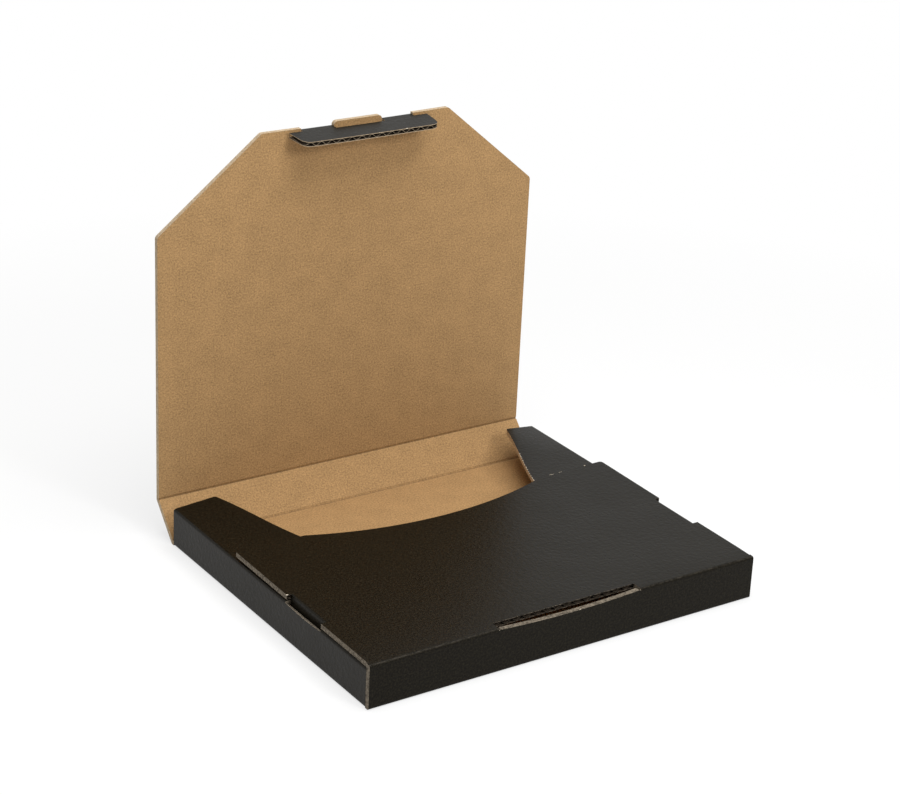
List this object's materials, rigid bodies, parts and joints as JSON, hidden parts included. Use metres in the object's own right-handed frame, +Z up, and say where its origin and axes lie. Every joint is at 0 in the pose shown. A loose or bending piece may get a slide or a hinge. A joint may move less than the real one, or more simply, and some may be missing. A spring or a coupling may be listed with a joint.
{
  "type": "letter mailer box",
  "caption": "Flat folded mailer box of corrugated board with a hinged lid, cut lid corners, a tuck flap and a front cover locked over its flanges.",
  "frame": {"origin": "middle of the tray's underside, with the box measured closed from front face to rear face", "axes": "+X across the box, +Y from the front wall to the rear where the spine and lid turn, +Z up from the table"},
  "size_m": [0.245, 0.2276, 0.2282],
  "materials": {
    "board": "matt kraft liner inside, raw fluted edges",
    "black_print": "satin black print on the outer liner"
  },
  "bodies": {
    "tray": {"tray": "board"},
    "spine": {"spine": "board"},
    "lid": {"lid": "board"},
    "tuck_flap": {"tuck_flap": "board"}
  },
  "joints": [
    {"name": "spine_fold", "type": "hinge", "parent": "tray", "child": "spine", "pos_m": [0, 0.1036, 0.0014], "axis": [1, 0, 0], "range_deg": [-47, 43]},
    {"name": "lid_fold", "type": "hinge", "parent": "spine", "child": "lid", "pos_m": [0, 0.1212, 0.02027], "axis": [1, 0, 0], "range_deg": [-44, 46]},
    {"name": "tuck_fold", "type": "hinge", "parent": "lid", "child": "tuck_flap", "pos_m": [0, 0.11763, 0.22434], "axis": [1, 0, 0], "range_deg": [-94, 0]}
  ]
}
